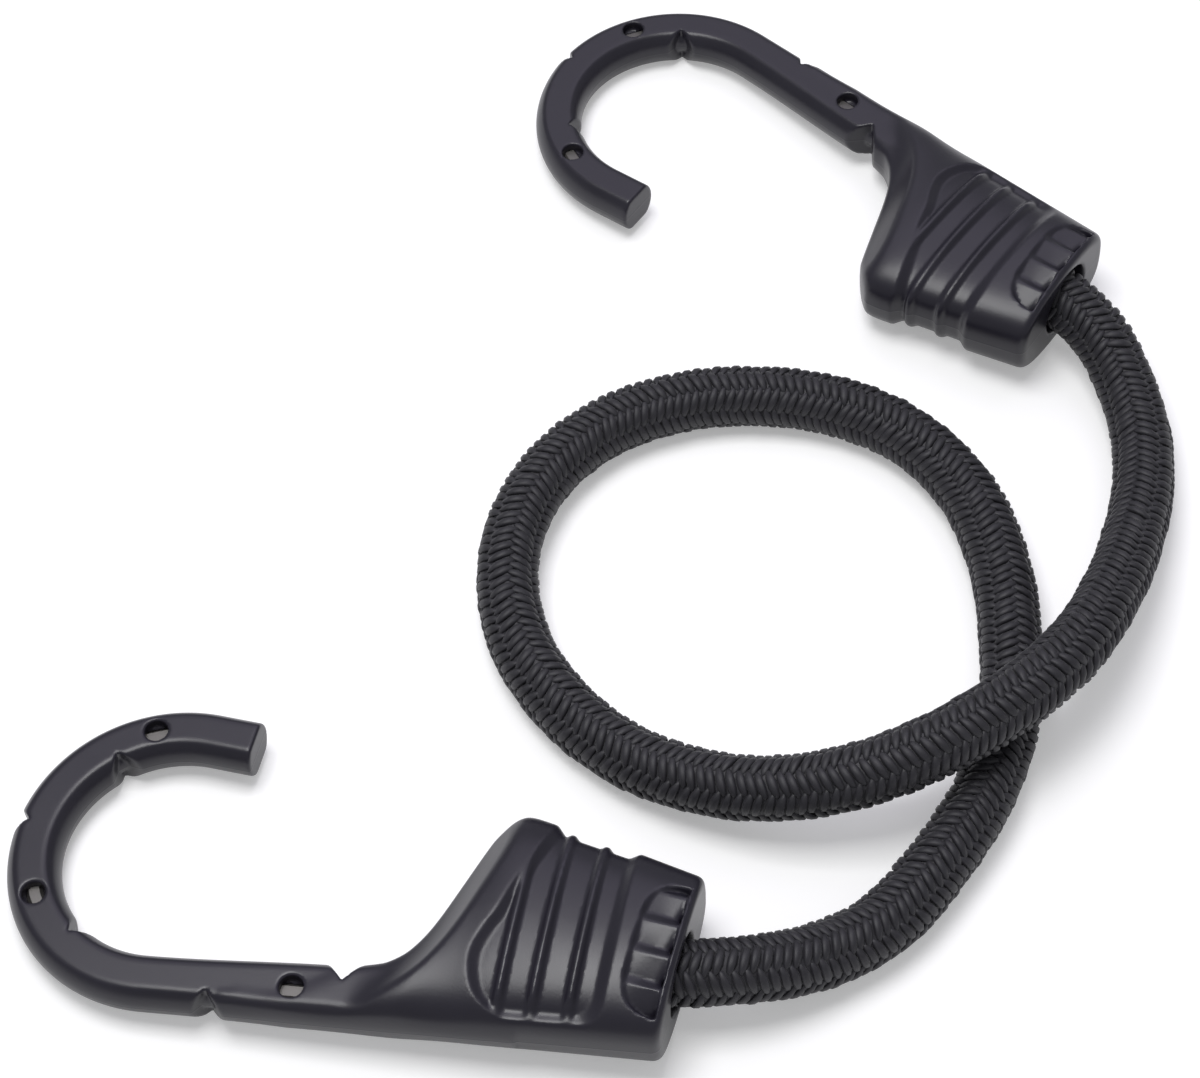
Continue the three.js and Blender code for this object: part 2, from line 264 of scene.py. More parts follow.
hook_a, hook_b = HookPlace("a", -1), HookPlace("b", 1)
in_socket = [SOCKET_DEPTH * share for share in (1, 0.6, 0.3, 0)]
knots = np.vstack([
    [hook_a.mouth + hook_a.x * depth for depth in in_socket],
    (FREE_ROUTE + FLOOR_SHIFT) * MM,
    [hook_b.mouth + hook_b.x * depth for depth in reversed(in_socket)],
])


def smooth_route(points, steps=24):
    """Centripetal Catmull-Rom curve: three rounds of straight mixing between four neighbours."""
    points = np.vstack([2 * points[0] - points[1], points, 2 * points[-1] - points[-2]])
    line = []
    for p0, p1, p2, p3 in zip(points, points[1:], points[2:], points[3:]):
        gaps = [np.linalg.norm(b - a) ** 0.5 for a, b in ((p0, p1), (p1, p2), (p2, p3))]
        t0, (t1, t2, t3) = 0.0, np.cumsum(gaps)
        t = np.linspace(t1, t2, steps, endpoint=False)[:, None]

        def mix(a, b, ta, tb):
            return (a * (tb - t) + b * (t - ta)) / (tb - ta)

        a1, a2, a3 = mix(p0, p1, t0, t1), mix(p1, p2, t1, t2), mix(p2, p3, t2, t3)
        b1, b2 = mix(a1, a2, t0, t2), mix(a2, a3, t1, t3)
        line.append(mix(b1, b2, t1, t2))
    return np.vstack([*line, points[-2]])


route = smooth_route(knots)
cord_length = float(np.linalg.norm(np.diff(route, axis=0), axis=1).sum())
print("cord:", round(cord_length / MM, 1), "mm long through", len(knots), "points")

# %% [markdown]
# ## The braid, stitch by stitch
# Eight columns of stitches run along a braid like this one. Each column leans the other way from
# its neighbour and sits half a stitch further on, which gives the herringbone look. A bump map
# would look flat at the edge of the cord, so every stitch is a small lens of yarn. Geometry
# Nodes place them: points along the route, eight copies of each, and one of two lenses on
# every copy.

# %% Small helpers for node trees on a path
def path_object(name, points):
    data = bpy.data.curves.new(name, "CURVE")
    data.dimensions = "3D"
    spline = data.splines.new("POLY")
    spline.points.add(len(points) - 1)
    spline.points.foreach_set("co", np.column_stack([points, np.ones(len(points))]).ravel())
    obj = bpy.data.objects.new(name, data)
    bpy.context.scene.collection.objects.link(obj)
    return obj


def shape_tree(name, sizes):
    """A geometry tree with one named input for each size. Returns its net and its inputs."""
    tree = bpy.data.node_groups.new(name, "GeometryNodeTree")
    tree.interface.new_socket("Geometry", in_out="INPUT", socket_type="NodeSocketGeometry")
    tree.interface.new_socket("Geometry", in_out="OUTPUT", socket_type="NodeSocketGeometry")
    for label, size in sizes.items():
        kind = "NodeSocketInt" if isinstance(size, int) else "NodeSocketFloat"
        tree.interface.new_socket(label, in_out="INPUT", socket_type=kind)
    net = Net(tree)
    inlet = tree.nodes.new("NodeGroupInput")
    given = {socket.name: Value(net, socket) for socket in inlet.outputs if socket.name}
    return net, given


def grow(obj, net, made, sizes, material, name):
    """Ends the tree, runs it on obj and keeps the result as a plain mesh."""
    real = net.node("GeometryNodeRealizeInstances", None, {"Geometry": made})
    real = net.node("GeometryNodeSetShadeSmooth", None, {"Geometry": real, "Shade Smooth": True})
    real = net.node("GeometryNodeSetMaterial", None, {"Geometry": real, "Material": material})
    outlet = net.tree.nodes.new("NodeGroupOutput")
    net.tree.links.new(real.socket, outlet.inputs[0])
    modifier = obj.modifiers.new(name, "NODES")
    modifier.node_group = net.tree
    for item in net.tree.interface.items_tree:
        if item.name in sizes:
            modifier[item.identifier] = sizes[item.name]
    evaluated = obj.evaluated_get(bpy.context.evaluated_depsgraph_get())
    mesh = bpy.data.meshes.new_from_object(evaluated)
    mesh.name = name
    obj.modifiers.remove(modifier)
    bpy.data.objects.remove(obj)
    piece = bpy.data.objects.new(name, mesh)
    bpy.context.scene.collection.objects.link(piece)
    mesh.calc_loop_triangles()
    print(name + ":", len(mesh.loop_triangles), "triangles")
    return piece


def seeded(net, low, high, seed, number):
    return net.node("FunctionNodeRandomValue", {"data_type": "FLOAT"},
                    {"Min": low, "Max": high, "ID": number, "Seed": seed}, out="Value")


# %% The braided sheath
BRAID = {
    "Pitch": 1.53 * MM,
    "Columns": 8,
    "Crown radius": 4.74 * MM,
    "End radius": 4.42 * MM,
    "Yarn width": 1.6 * MM,
    "Yarn height": 0.86 * MM,
    "Reach": math.radians(31.0),
    "Slant": 0.82 * MM,
    "Twist a row": math.radians(0.35),
    "Tuck": 4.0 * MM,
    "Liner radius": 4.55 * MM,
    "Seed": 4,
}
STEP_JITTER, TURN_JITTER, THINNEST = 0.09, 0.035, 0.96
LINER_STEP = 2.5 * MM
net, given = shape_tree("braid_of_yarn", BRAID)


def stitch(lean):
    """One lens of yarn, bent round the cord's axis Z. lean is +1 or -1."""
    rod = net.node("GeometryNodeMeshCylinder", {"fill_type": "NGON"},
                   {"Vertices": 6, "Side Segments": 5, "Radius": 1.0, "Depth": 2.0}, out="Mesh")
    spot = net.node("GeometryNodeInputPosition")
    across, height, along = net.node("ShaderNodeSeparateXYZ", None, {0: spot}, out=(0, 1, 2))
    along = along * (1.25 - 0.25 * along * along)  # more rings of points near the ends
    taper = (1.04 - along * along) ** 0.62  # narrow at both ends
    rise = 1 - along * along
    radius = given["End radius"] + rise * (given["Crown radius"] - given["End radius"])
    radius = radius + height * taper * given["Yarn height"] * 0.5
    turn = along * given["Reach"]
    shift = along * given["Slant"] * lean + across * taper * given["Yarn width"] * 0.5
    place = net.vector(radius * turn.cos(), radius * turn.sin(), shift)
    bent = net.node("GeometryNodeSetPosition", None, {"Geometry": rod, "Position": place})
    return net.node("GeometryNodeStoreNamedAttribute", {"data_type": "FLOAT_VECTOR", "domain": "POINT"},
                    {"Geometry": bent, "Name": "fibre", "Value": net.vector(along, across, height)})


line = net.node("GeometryNodeSetCurveNormal", {"mode": "MINIMUM_TWIST"}, {"Curve": given["Geometry"]})
total = net.node("GeometryNodeCurveLength", None, {"Curve": line})
shown = net.node("GeometryNodeTrimCurve", {"mode": "LENGTH"},
                 {"Curve": line, "Start": given["Tuck"], "End": total - given["Tuck"]})
rows, tangent, facing = net.node("GeometryNodeCurveToPoints", {"mode": "LENGTH"},
                                 {"Curve": shown, "Length": given["Pitch"]},
                                 out=("Points", "Tangent", "Rotation"))
spots, column = net.node("GeometryNodeDuplicateElements", {"domain": "POINT"},
                         {"Geometry": rows, "Amount": given["Columns"]},
                         out=("Geometry", "Duplicate Index"))
number = net.node("GeometryNodeInputIndex")
row = (number / given["Columns"]).floor()
odd = column % 2
step = given["Pitch"] * (0.5 * odd + seeded(net, -STEP_JITTER, STEP_JITTER, given["Seed"], number))
ahead = net.node("ShaderNodeVectorMath", {"operation": "SCALE"}, {"Vector": tangent, "Scale": step})
spots = net.node("GeometryNodeSetPosition", None, {"Geometry": spots, "Offset": ahead})
turn = column * (2 * math.pi) / given["Columns"] + row * given["Twist a row"]
turn = turn + seeded(net, -TURN_JITTER, TURN_JITTER, given["Seed"] + 1, number)
about = net.node("FunctionNodeEulerToRotation", None, {0: net.vector(0.0, 0.0, turn)})
facing = net.node("FunctionNodeRotateRotation", {"rotation_space": "LOCAL"},
                  {"Rotation": facing, "Rotate By": about})
pair = net.node("GeometryNodeGeometryToInstance", None, {"Geometry": [stitch(1.0), stitch(-1.0)]})
size = seeded(net, THINNEST, 1.0, given["Seed"] + 2, number)
stitches = net.node("GeometryNodeInstanceOnPoints", None,
                    {"Points": spots, "Instance": pair, "Pick Instance": True, "Instance Index": odd,
                     "Rotation": facing, "Scale": net.vector(size, size, 1.0)})
own_tone = seeded(net, 0.0, 1.0, given["Seed"] + 3, net.node("GeometryNodeInputIndex"))
stitches = net.node("GeometryNodeStoreNamedAttribute", {"data_type": "FLOAT", "domain": "INSTANCE"},
                    {"Geometry": stitches, "Name": "tone", "Value": own_tone})
# The liner has no stitch coordinates, so the yarn finish paints it dark, in the painted shade between the
# stitches.
ring = net.node("GeometryNodeCurvePrimitiveCircle", None,
                {"Resolution": 12, "Radius": given["Liner radius"]})
spaced = net.node("GeometryNodeResampleCurve", {"mode": "LENGTH"}, {"Curve": line, "Length": LINER_STEP})
liner = net.node("GeometryNodeCurveToMesh", None,
                 {"Curve": spaced, "Profile Curve": ring, "Fill Caps": True})
whole = net.node("GeometryNodeJoinGeometry", None, {"Geometry": [stitches, liner]})
braid = grow(path_object("braid_route", route), net, whole, BRAID, braid_finish, "braided_sheath")

# %% [markdown]
# ## The rubber inside
# Under the braid lies a bundle of rubber strands, which does the pulling. Only its cut ends could
# ever show, deep in the hooks, but the cord would be an empty hose without it. A profile of
# seven circles, swept along the route, makes all the strands at once.

# %% Rubber finish and strands
RUBBER_DARK, RUBBER_LIGHT = (0.52, 0.43, 0.26), (0.66, 0.57, 0.38)
rubber_finish, net, shader = finish_net("latex_rubber")
place = net.node("ShaderNodeTexCoord", out="Object")
bloom = net.node("ShaderNodeTexNoise", None, {"Vector": place, "Scale": 260.0, "Detail": 5.0})
colour = net.node("ShaderNodeValToRGB", {"stops": [(0.3, RUBBER_DARK), (0.7, RUBBER_LIGHT)]}, {0: bloom})
feed(net, shader, Base_Color=colour, Roughness=0.55 + 0.25 * bloom)

RUBBER = {"Strand radius": 1.1 * MM, "Ring radius": 2.5 * MM, "Outer strands": 6}
STRAND_STEP = 3.0 * MM
net, given = shape_tree("rubber_bundle", RUBBER)
line = net.node("GeometryNodeSetCurveNormal", {"mode": "MINIMUM_TWIST"}, {"Curve": given["Geometry"]})
line = net.node("GeometryNodeResampleCurve", {"mode": "LENGTH"}, {"Curve": line, "Length": STRAND_STEP})
spots = net.node("GeometryNodeMeshCircle", None,
                 {"Vertices": given["Outer strands"], "Radius": given["Ring radius"]})
middle = net.node("GeometryNodePoints", None, {"Count": 1})
spots = net.node("GeometryNodeMeshToPoints", None, {"Mesh": spots})
spots = net.node("GeometryNodeJoinGeometry", None, {"Geometry": [spots, middle]})
round_strand = net.node("GeometryNodeCurvePrimitiveCircle", None,
                        {"Resolution": 8, "Radius": given["Strand radius"]})
profile = net.node("GeometryNodeInstanceOnPoints", None, {"Points": spots, "Instance": round_strand})
profile = net.node("GeometryNodeRealizeInstances", None, {"Geometry": profile})
bundle = net.node("GeometryNodeCurveToMesh", None,
                  {"Curve": line, "Profile Curve": profile, "Fill Caps": True})
rubber = grow(path_object("rubber_route", route), net, bundle, RUBBER, rubber_finish, "rubber_strands")

# %% [markdown]
# ## One form for both hooks
# The hook is a steel wire with nylon moulded over it, so it has no sharp corners: the rod swells
# into the body and every mark has a small radius. Bevelled boxes would show their seams. A
# distance field suits such a form better. It says how far any point lies from the surface, and
# fields can be joined and cut with soft edges. Then a mesh is stretched over the places where
# the field is zero. All lengths here are millimetres in the hook's own frame.

# %% Soft joins and cuts
def soft_least(a, b, k):
    share = np.clip(0.5 + 0.5 * (b - a) / k, 0, 1)
    return b * (1 - share) + a * share - k * share * (1 - share)


def soft_most(a, b, k):
    return -soft_least(-a, -b, k)


def ease(value, low, high):
    t = np.clip((value - low) / (high - low), 0, 1)
    return t * t * (3 - 2 * t)


# %% The rod: a straight shank, a bend and a short straight tip
ROD_W, ROD_T, FLAT_W = 8.0, 7.0, 4.6
BEND_R, BEND_X = 20.5, 76.8
PULL, SWEEP = math.radians(8.8), math.radians(187.3)
SHANK_FLARE, FLARE_FROM, FLARE_TO = 1.0, 44.0, 74.0
TIP_STRAIGHT, ROD_START = 6.8, 20.0
FLAT_EDGE, TIP_EDGE = 0.35, 0.5
SIN, COS = math.sin(PULL), math.cos(PULL)
SHANK_END = (BEND_X - BEND_R * SIN, -BEND_R * COS)
BEND_END = SWEEP * BEND_R
TIP = BEND_END + TIP_STRAIGHT
ROD_FROM = (ROD_START - SHANK_END[0]) / COS
# Two arcs of radius SIDE_R join the flats, with their centres SIDE_SHIFT past the middle.
SIDE_SHIFT = (ROD_T**2 / 4 + FLAT_W**2 / 4 - ROD_W**2 / 4) / (ROD_W - FLAT_W)
SIDE_R = ROD_W / 2 + SIDE_SHIFT


def rod_place(x, y):
    """Distance along the rod from the start of the bend, and offset towards the throat."""
    back, aside = x - SHANK_END[0], y - SHANK_END[1]
    line_s, line_u = back * COS - aside * SIN, back * SIN + aside * COS
    turn = np.arctan2(x - BEND_X, -y)
    split = math.radians(87.6)  # the turn jumps here, clear of the bend and the tip
    turn = (turn + split) % (2 * math.pi) - split
    arc_s, arc_u = (turn + PULL) * BEND_R, BEND_R - np.hypot(x - BEND_X, y)
    on_line = (line_s <= 0) & ((np.abs(line_u) < np.abs(arc_u)) | (arc_s < 0))
    s, u = np.where(on_line, line_s, arc_s), np.where(on_line, line_u, arc_u)
    end_x, end_y, (nx, ny) = rod_point(BEND_END)
    tip_s, tip_u = (x - end_x) * ny - (y - end_y) * nx, (x - end_x) * nx + (y - end_y) * ny
    on_tip = (tip_s >= 0) & (np.abs(tip_u) < ROD_W + 1) & ~on_line
    return np.where(on_tip, BEND_END + tip_s, s), np.where(on_tip, tip_u, u)


def rod_point(s):
    """Place on the rod's middle line, and the way from there to the throat."""
    if s <= 0:
        return SHANK_END[0] + s * COS, SHANK_END[1] - s * SIN, (SIN, COS)
    a = s / BEND_R - PULL
    return BEND_X + BEND_R * math.sin(a), -BEND_R * math.cos(a), (-math.sin(a), math.cos(a))


def shank_flare(x):
    """Width that the shank gains towards the body, on the throat side."""
    return SHANK_FLARE * (1 - ease(x, FLARE_FROM, FLARE_TO))


def rod_field(x, s, u, z):
    """The rod with its two flats, from inside the body to the tip."""
    wider = np.where(s < 0, shank_flare(x), 0)
    u = np.where(u > 0, np.maximum(u - wider, 0), u)
    sides = np.hypot(np.abs(u) + SIDE_SHIFT, z) - SIDE_R
    section = soft_most(np.abs(z) - ROD_T / 2, sides, FLAT_EDGE)
    return np.maximum(soft_most(section, s - TIP, TIP_EDGE), ROD_FROM - s)


print("rod:", round(TIP - ROD_FROM, 1), "mm along its middle line")

# %% [markdown]
# ## The body of the hook
# Over the end of the cord the hook swells into a body with a dome on each face. The dome is drawn
# through stations, as a boat's hull is. Along the throat the flat of the rod runs on as a band,
# which tilts more and more towards the throat, so the body has a ridge where the band meets the
# dome. A smooth outline trims it all to the shape seen from above.

# %% Outline, band and dome
MOUTH_X, MOUTH_INNER, BODY_T = -1.3, 14.8, 16.0
HALF = BODY_T / 2
SPINE_OVER = 0.15
BEHIND, OUTLINE_END = MOUTH_X - 4.0, 61.0
BAND_SLOPE, BAND_FULL, BAND_FLAT, BAND_EDGE = 1.15, 29.0, 44.0, 1.2


def shank_middle(x):
    return SHANK_END[1] + (SHANK_END[0] - x) * SIN / COS


def spine(x):
    return shank_middle(x) - ROD_W / 2 / COS - SPINE_OVER


def shank_inner(x):
    return shank_middle(x) + ROD_W / 2 / COS + shank_flare(x)


THROAT = [
    (52.0, shank_inner(52.0)), (46.0, shank_inner(46.0)), (42.6, shank_inner(42.6) + 0.4),
    (39.7, -9.0), (37.7, -7.2), (36.1, -4.4), (34.9, -1.2), (33.0, 5.7), (31.0, 13.0),
]
PEAK_TO_MOUTH = [(26.4, 18.4), (23.8, 18.5), (9.0, 16.3), (0.0, MOUTH_INNER), (BEHIND, 14.3)]
throat = smooth_route(np.array(THROAT), 6)
band_line = np.vstack([throat, [(29.4, 19.0)]])
shank = [(BEHIND, spine(BEHIND)), (OUTLINE_END, spine(OUTLINE_END)), (OUTLINE_END, shank_inner(OUTLINE_END))]
outline = np.vstack([shank, throat, PEAK_TO_MOUTH])


def line_field(x, y, corners):
    """Distance to a line through corners, seen from above, and whether a closed line holds the point."""
    x, y = np.broadcast_arrays(x, y)
    nearest, inside = np.full(x.shape, 1e9), np.zeros(x.shape, bool)
    for (ax, ay), (bx, by) in zip(corners, corners[1:]):
        ex, ey = bx - ax, by - ay
        t = np.clip(((x - ax) * ex + (y - ay) * ey) / (ex * ex + ey * ey), 0, 1)
        nearest = np.minimum(nearest, (x - ax - t * ex) ** 2 + (y - ay - t * ey) ** 2)
        inside ^= ((ay > y) != (by > y)) & (x < ax + (y - ay) * ex / (ey if ey else 1e-9))
    return np.sqrt(nearest), inside


def outline_field(x, y):
    away, inside = line_field(x, y, np.vstack([outline, outline[:1]]))
    return np.where(inside, -away, away)


def band_field(x, y, z):
    """The two sloping faces along the throat."""
    slope = BAND_SLOPE * (1 - ease(x, BAND_FULL, BAND_FLAT))
    away, _ = line_field(x, y, band_line)
    return (np.abs(z) - ROD_T / 2 - slope * (away - BAND_EDGE)) / np.sqrt(1 + slope**2)


# Each station: its place x, how far its outer edge lies inside the spine, its inner edge, and how
# much thinner than the body it is on each face.
STATIONS = [
    (-4.0, 0, 14.4, 0), (0.0, 0, MOUTH_INNER, 0), (9.0, 0, 16.3, 0), (23.8, 0, 18.3, 0),
    (25.4, 0, 18.5, 0.1), (27.0, 0, 18.4, 0.3), (29.0, 0, 16.8, 0.6), (30.4, 0, 14.4, 0.8),
    (31.5, 0, 11.2, 1.0), (33.0, 0, 5.4, 1.3), (34.9, 0, -1.4, 1.7), (36.1, 0, -4.6, 2.0),
    (37.7, 0, -7.4, 2.4), (39.7, 0, -9.3, 2.9), (42.6, 0, -10.5, 3.5), (46.0, 0, -12.4, 4.1),
    (52.0, 0.2, -17.9, 4.6), (60.0, 1.0, -20.6, 5.2),
]
HULL_END = (72.0, -22.9, -21.7, 1.2)
HULL_STEP, SMOOTH_OVER = 0.25, 11
stations = [(x, spine(x) + lift, inner, HALF - thinner) for x, lift, inner, thinner in STATIONS]
stations = np.array([*stations, HULL_END])
fine_x = np.arange(stations[0, 0], HULL_END[0] + 0.01, HULL_STEP)
smoothing = np.hanning(SMOOTH_OVER) / np.hanning(SMOOTH_OVER).sum()


def smoothed(row):
    return np.convolve(np.pad(row, SMOOTH_OVER // 2, "edge"), smoothing, "valid")


hull = np.array([smoothed(np.interp(fine_x, stations[:, 0], stations[:, i])) for i in (1, 2, 3)])
hull_slope = np.gradient(hull, HULL_STEP, axis=1)
ROUND, SQUARE, DRAFT = 2.2, 3.6, 0.05
DOME_END = 66.0


def dome_field(x, y, z):
    """A rounded section at every x, divided by its steepness so that it is close to a distance."""
    outer, inner, half = (np.interp(x, fine_x, row) for row in hull)
    d_outer, d_inner, d_half = (np.interp(x, fine_x, row) for row in hull_slope)
    wide, centre = (inner - outer) / 2, (inner + outer) / 2
    b = np.abs(z) / half
    a = np.abs(y - centre) / wide + DRAFT * b
    ga, gb = ROUND * a ** (ROUND - 1), SQUARE * b ** (SQUARE - 1)
    slope_a = -(np.sign(y - centre) * (d_inner + d_outer) / 2 + a * (d_inner - d_outer) / 2) / wide
    gx = ga * slope_a - gb * b * d_half / half
    steep = np.sqrt((ga / wide) ** 2 + (gb / half) ** 2 + gx**2 + 0.004)
    swell = np.clip((a**ROUND + b**SQUARE - 1) / steep, -9, 9)
    return np.maximum(swell, x - DOME_END)


print("body:", round(MOUTH_INNER - spine(0.0), 1), "mm across the mouth and", BODY_T, "mm thick")

# %% [markdown]
# ## Grip, teeth and pin marks
# Each face carries a sunk grip panel with three ribs, which runs out over the throat side, and a
# row of four saw teeth across the mouth. The round holes and the notches along the rod are left
# by the pins that hold the wire in the mould. Panel and teeth are written as a depth below the
# face, and the rest as plain cuts.

# %% Depths and cuts
PANEL_DEPTH, PANEL_REAR, PANEL_MARGIN, PANEL_RAMP = 1.2, 7.9, 1.4, 1.6
RIBS, RIB_HALF, RIB_LEAN, REAR_LEAN = (23.0, 18.1, 12.8), 1.15, 0.07, 0.06
PANEL_FRONT = smooth_route(np.array([
    (-16.0, 21.0), (-14.2, 23.8), (-12.0, 26.1), (-9.3, 27.4), (-6.5, 27.8), (-3.0, 27.0),
    (0.0, 25.9), (4.0, 25.0), (7.1, 24.2), (10.0, 23.4), (13.4, 22.6), (16.5, 22.0),
]), 6)
TEETH, TOOTH_PITCH, TOOTH_RISE = 4, 5.0, 0.72
TOOTH_FROM, TOOTH_LONG = -0.3, 6.2
RIM = TEETH * TOOTH_PITCH / 2
CORD_R, CLEAR, SOCKET_END, MOUTH_FLARE = 5.0, 0.3, 26.0, 5.0
RING_X, RING_LENGTH, RING_WALL = 16.3, 6.0, 0.9
CORE_R, CORE_FROM, CORE_COVER, GRIP = 2.0, 13.0, 6.0, 0.15
PIN_R, PIN_FLOOR = 1.8, 1.7
NOTCH_ANGLE, NOTCH_POINT, NOTCH_FLOOR, NOTCH_REACH = math.radians(42), 1.6, 2.55, 6.5


def bend_at(degrees):
    """Distance along the rod at that angle of the bend."""
    return math.radians(degrees) * BEND_R


PINS = [-22.2, bend_at(63.7), bend_at(163)]
NOTCHES = [(-29.3, 1), (bend_at(38.8), 1), (bend_at(143.9), 1), (-10.0, -1), (bend_at(97.9), -1)]


def ramp(value):
    """0 below 0 and 1 above 1, straight between, with small radii."""
    return soft_least(soft_most(value, 0.0, 0.2), 1.0, 0.2)


def panel_depth(x, y):
    """Depth of the grip panel. Its ribs are lower towards the throat and fade at the spine."""
    front = np.interp(y, PANEL_FRONT[:, 0], PANEL_FRONT[:, 1])
    from_spine = y - spine(x) - PANEL_MARGIN
    edge = soft_least(soft_least(x - PANEL_REAR - REAR_LEAN * y, front - x, 2.0), from_spine, 3.0)
    rib = sum(1 - ease(np.abs(x - at - RIB_LEAN * y), 0.1, RIB_HALF) for at in RIBS)
    rise = (0.85 - 0.35 * ease(y, 2, 14)) * (0.3 + 0.7 * ease(from_spine, 0.5, 4.0))
    return PANEL_DEPTH * ramp(edge / PANEL_RAMP) * (1 - rise * rib)


def tooth_depth(x, y, z):
    """Depth of the saw teeth, greater towards the rim and mirrored on the other face."""
    edge = 1 - (np.abs((x - TOOTH_FROM) / TOOTH_LONG) ** 2.4 + np.abs(y / (RIM + 0.4)) ** 5) ** 0.4
    edge = np.minimum(edge * 5.0, (x - TOOTH_FROM) * 2.0)
    climb = ((RIM - np.where(z > 0, y, -y)) / TOOTH_PITCH) % 1.0
    climb = np.minimum(climb / TOOTH_RISE, (1 - climb) / (1 - TOOTH_RISE))
    deep = 0.3 + (0.45 + 0.8 * ease(6.0 - x, 0, 5)) * (1 - climb)
    return ease(edge, 0, 0.6) * deep * ease(np.abs(z), 3.0, 4.5)


def cuts_field(x, y, z, s, u):
    """All that is taken out: the socket, the channel of the wire, the pin holes and the notches."""
    round_axis = np.hypot(y, z)
    bore = CORD_R + CLEAR + np.clip(1 - (x - MOUTH_X) / MOUTH_FLARE, 0, 1.2)
    in_chamber = np.abs(x - RING_X - RING_LENGTH / 2) < RING_LENGTH / 2 + 2 * CLEAR
    bore = np.where(in_chamber, CORD_R + RING_WALL + 2 * CLEAR, bore)
    cut = np.maximum(round_axis - bore, x - SOCKET_END)
    core_from, core_to = (CORE_FROM - SHANK_END[0]) / COS - CLEAR, TIP - CORE_COVER + CLEAR
    channel = np.hypot(u, z) - CORE_R + GRIP
    cut = np.minimum(cut, np.maximum(channel, np.maximum(core_from - s, s - core_to)))
    for place in PINS:
        px, py, _ = rod_point(place)
        cut = np.minimum(cut, np.maximum(np.hypot(x - px, y - py) - PIN_R, PIN_FLOOR - np.abs(z)))
    for place, side in NOTCHES:
        px, py, (nx, ny) = rod_point(place)
        out = side * ((x - px) * nx + (y - py) * ny)
        beside = np.abs((y - py) * nx - (x - px) * ny)
        vee = beside * math.cos(NOTCH_ANGLE) - (out - NOTCH_POINT) * math.sin(NOTCH_ANGLE)
        vee = np.maximum(np.maximum(vee, out - NOTCH_REACH), NOTCH_FLOOR - np.hypot(u, z))
        cut = np.minimum(cut, vee)
    return cut


OUTLINE_OVER = 0.25
RIDGE_R, OUTLINE_R, MOUTH_R, ROOT_R, MARK_R = 0.6, 1.0, 1.5, 1.0, 0.22


def hook_field(x, y, z):
    """The whole hook, negative inside."""
    s, u = rod_place(x, y)
    body = soft_most(dome_field(x, y, z), band_field(x, y, z), RIDGE_R)
    body = soft_most(body, outline_field(x, y) - OUTLINE_OVER, OUTLINE_R)
    body = soft_most(body, MOUTH_X - x, MOUTH_R)
    body = body + panel_depth(x, y) + tooth_depth(x, y, z)
    whole = soft_least(body, rod_field(x, s, u, z), ROOT_R)
    return soft_most(whole, -cuts_field(x, y, z, s, u), MARK_R)


print("marks on each hook:", len(PINS) * 2, "pin holes,", len(NOTCHES), "notches,", TEETH * 2, "teeth")

# %% [markdown]
# ## A mesh over the field
# A surface net puts one point in every small cell that the surface passes through and joins the
# points of neighbouring cells. The points are then pulled onto the true surface along the field's
# slope, which takes the stair steps out.

# %% Surface net
CELL = 0.37
HOOK_LOW, HOOK_HIGH = (-2.6, -28.0, -9.5), (103.0, 28.0, 9.5)


def surface_net(field, low, high, cell):
    """Points and outward quads of the surface where field is zero, inside a box."""
    axes = [np.arange(a, b + cell, cell) for a, b in zip(low, high)]
    value = field(axes[0][:, None, None], axes[1][None, :, None], axes[2][None, None, :])
    inside = value < 0
    count = sum(inside[i:i - 1 or None, j:j - 1 or None, k:k - 1 or None].astype(np.int8)
                for i in (0, 1) for j in (0, 1) for k in (0, 1))
    cells = np.argwhere((count > 0) & (count < 8))
    number = np.full(count.shape, -1)
    number[tuple(cells.T)] = np.arange(len(cells))
    total, hits = np.zeros((len(cells), 3)), np.zeros((len(cells), 1))
    for axis in range(3):
        for i in (0, 1):
            for j in (0, 1):
                start = np.insert([i, j], axis, 0)
                end = np.insert([i, j], axis, 1)
                v0, v1 = value[tuple((cells + start).T)], value[tuple((cells + end).T)]
                crosses = (v0 < 0) != (v1 < 0)
                t = np.where(crosses, v0 / np.where(crosses, v0 - v1, 1), 0)
                total += np.where(crosses[:, None], start + t[:, None] * (end - start), 0)
                hits += crosses[:, None]
    points = np.array(low) + cell * (cells + total / hits)
    quads = []
    for axis in range(3):
        b, c = (axis + 1) % 3, (axis + 2) % 3
        last = inside.shape[axis] - 1
        first, second = (np.take(inside, range(n, last + n), axis) for n in (0, 1))
        edge = np.argwhere(first != second)
        edge = edge[(edge[:, b] > 0) & (edge[:, c] > 0)]
        around = []
        for db, dc in ((1, 1), (0, 1), (0, 0), (1, 0)):
            cell_at = edge.copy()
            cell_at[:, b] -= db
            cell_at[:, c] -= dc
            around.append(number[tuple(cell_at.T)])
        quad = np.column_stack(around)
        outwards = first[tuple(edge.T)]
        quads.append(np.where(outwards[:, None], quad, quad[:, ::-1]))
    return points, np.vstack(quads)


def slope_of(field, points, h=0.04):
    """The field's slope at points, from its change over a small step h to both sides."""
    x, y, z = points.T
    return np.column_stack([
        field(x + h, y, z) - field(x - h, y, z),
        field(x, y + h, z) - field(x, y - h, z),
        field(x, y, z + h) - field(x, y, z - h),
    ]) / (2 * h)


hook_points, hook_quads = surface_net(hook_field, HOOK_LOW, HOOK_HIGH, CELL)
for pull in (0.8, 0.9):
    slope = slope_of(hook_field, hook_points)
    steep = (slope**2).sum(1, keepdims=True)
    move = -pull * hook_field(*hook_points.T)[:, None] * slope / np.maximum(steep, 0.2)
    hook_points += np.clip(move, -0.4 * CELL, 0.4 * CELL)
print("hook mesh:", len(hook_points), "points,", 2 * len(hook_quads), "triangles")

